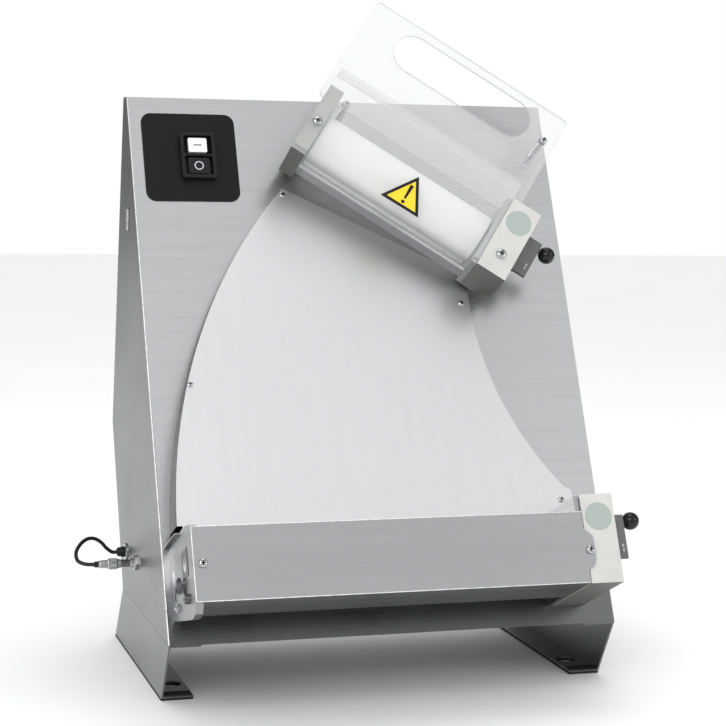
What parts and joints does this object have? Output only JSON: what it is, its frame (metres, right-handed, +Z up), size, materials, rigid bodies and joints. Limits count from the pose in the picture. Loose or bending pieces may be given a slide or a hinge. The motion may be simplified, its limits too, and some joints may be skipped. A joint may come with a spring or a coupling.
{
  "type": "dough sheeter",
  "caption": "Tabletop dough sheeter: leaning stainless body, tilted upper and level lower roller pairs, curved chute, clear guard, switch and pedal plug.",
  "frame": {"origin": "on the surface the machine stands on, under the middle of its box", "axes": "+X to the baker's right, -Y towards the baker, +Z up"},
  "size_m": [0.6067, 0.467, 0.7852],
  "materials": {
    "steel": "brushed stainless sheet",
    "bright_steel": "bright stainless plate",
    "dark_steel": "dark grey metal",
    "aluminium": "satin anodised",
    "white_plastic": "food-grade white plastic",
    "black_plastic": "black plastic",
    "black_gloss": "gloss black ball",
    "clear_plastic": "clear sheet",
    "rubber": "black rubber",
    "zinc": "bright plated steel"
  },
  "bodies": {
    "frame": {"front_panel": "steel", "left_side_panel": "steel", "right_side_panel": "steel", "back_cover": "steel", "left_leg": "dark_steel", "right_leg": "dark_steel", "left_foot_strip": "rubber", "right_foot_strip": "rubber", "chute_plate": "bright_steel", "switch_plate": "black_plastic", "switch_body": "black_plastic", "power_inlet": "black_plastic", "pedal_socket": "zinc", "pedal_plug": "zinc", "pedal_gland": "black_plastic", "pedal_lead": "black_plastic", "lower_left_plate": "steel", "lower_right_plate": "steel", "lower_gear_casing": "aluminium", "lower_gearmotor": "aluminium", "lower_cover": "steel", "lower_scraper": "steel", "cover_screw_left": "zinc", "cover_screw_right": "zinc", "scraper_spring": "zinc", "upper_left_bracket": "aluminium", "upper_right_plate": "steel", "upper_gear_casing": "aluminium", "upper_gearmotor": "aluminium", "upper_guard_cover": "clear_plastic", "upper_hand_plate": "clear_plastic", "bracket_screw": "zinc", "casing_screw": "zinc", "left_standoff": "zinc", "right_standoff": "zinc", "upper_scraper": "steel"},
    "start_button": {"start_button": "white_plastic"},
    "stop_button": {"stop_button": "black_plastic"},
    "lower_rear": {"lower_rear_roller": "white_plastic", "lower_rear_shaft": "zinc", "lower_rear_gear": "dark_steel"},
    "lower_carriage": {"lower_left_slide": "dark_steel", "lower_right_slide": "dark_steel"},
    "lower_front": {"lower_front_roller": "white_plastic", "lower_front_shaft": "zinc", "lower_front_gear": "dark_steel"},
    "lower_pinion": {"lower_motor_pinion": "dark_steel"},
    "lower_lever": {"lower_lever": "dark_steel", "lower_knob": "black_gloss"},
    "upper_rear": {"upper_rear_roller": "white_plastic", "upper_rear_shaft": "zinc", "upper_rear_gear": "dark_steel"},
    "upper_carriage": {"upper_left_slide": "dark_steel", "upper_right_slide": "dark_steel"},
    "upper_front": {"upper_front_roller": "white_plastic", "upper_front_shaft": "zinc", "upper_front_gear": "dark_steel"},
    "upper_pinion": {"upper_motor_pinion": "dark_steel"},
    "upper_lever": {"upper_lever": "dark_steel", "upper_knob": "black_gloss"}
  },
  "joints": [
    {"name": "lower_rear_spin", "type": "hinge", "parent": "frame", "child": "lower_rear", "pos_m": [0.1884, -0.11669, 0.14254], "axis": [1, 0, 0], "continuous": true},
    {"name": "lower_pinion_spin", "type": "hinge", "parent": "frame", "child": "lower_pinion", "pos_m": [0.1884, -0.07464, 0.12272], "axis": [1, 0, 0], "continuous": true},
    {"name": "lower_lever_turn", "type": "hinge", "parent": "frame", "child": "lower_lever", "pos_m": [0.2264, -0.17278, 0.16898], "axis": [-1, 0, 0], "range_deg": [0, 50]},
    {"name": "lower_gap_slide", "type": "slide", "parent": "frame", "child": "lower_carriage", "axis": [0, -0.9045, 0.4264], "range_m": [0, 0.004]},
    {"name": "lower_front_spin", "type": "hinge", "parent": "lower_carriage", "child": "lower_front", "pos_m": [0.1884, -0.17278, 0.16898], "axis": [1, 0, 0], "continuous": true},
    {"name": "upper_rear_spin", "type": "hinge", "parent": "frame", "child": "upper_rear", "pos_m": [0.14672, 0.0735, 0.47096], "axis": [0.8192, -0.2446, -0.5188], "continuous": true},
    {"name": "upper_pinion_spin", "type": "hinge", "parent": "frame", "child": "upper_pinion", "pos_m": [0.14672, 0.11556, 0.45113], "axis": [0.8192, -0.2446, -0.5188], "continuous": true},
    {"name": "upper_lever_turn", "type": "hinge", "parent": "frame", "child": "upper_lever", "pos_m": [0.17785, 0.00813, 0.47768], "axis": [-0.8192, 0.2446, 0.5188], "range_deg": [0, 50]},
    {"name": "upper_gap_slide", "type": "slide", "parent": "frame", "child": "upper_carriage", "axis": [0, -0.9045, 0.4264], "range_m": [0, 0.004]},
    {"name": "upper_front_spin", "type": "hinge", "parent": "upper_carriage", "child": "upper_front", "pos_m": [0.14672, 0.01742, 0.4974], "axis": [0.8192, -0.2446, -0.5188], "continuous": true},
    {"name": "start_press", "type": "slide", "parent": "frame", "child": "start_button", "axis": [0, 0.9045, -0.4264], "range_m": [0, 0.0025], "stiffness_N_per_m": 400, "springref_m": -0.001},
    {"name": "stop_press", "type": "slide", "parent": "frame", "child": "stop_button", "axis": [0, 0.9045, -0.4264], "range_m": [0, 0.0025], "stiffness_N_per_m": 400, "springref_m": -0.001}
  ],
  "couplings": [
    {"joint": "lower_front_spin", "follows": "lower_rear_spin", "ratio": -1},
    {"joint": "lower_pinion_spin", "follows": "lower_rear_spin", "ratio": -2},
    {"joint": "lower_lever_turn", "follows": "lower_gap_slide", "rad_per_m": 218.17},
    {"joint": "upper_front_spin", "follows": "upper_rear_spin", "ratio": -1},
    {"joint": "upper_pinion_spin", "follows": "upper_rear_spin", "ratio": -2},
    {"joint": "upper_lever_turn", "follows": "upper_gap_slide", "rad_per_m": 218.17}
  ]
}
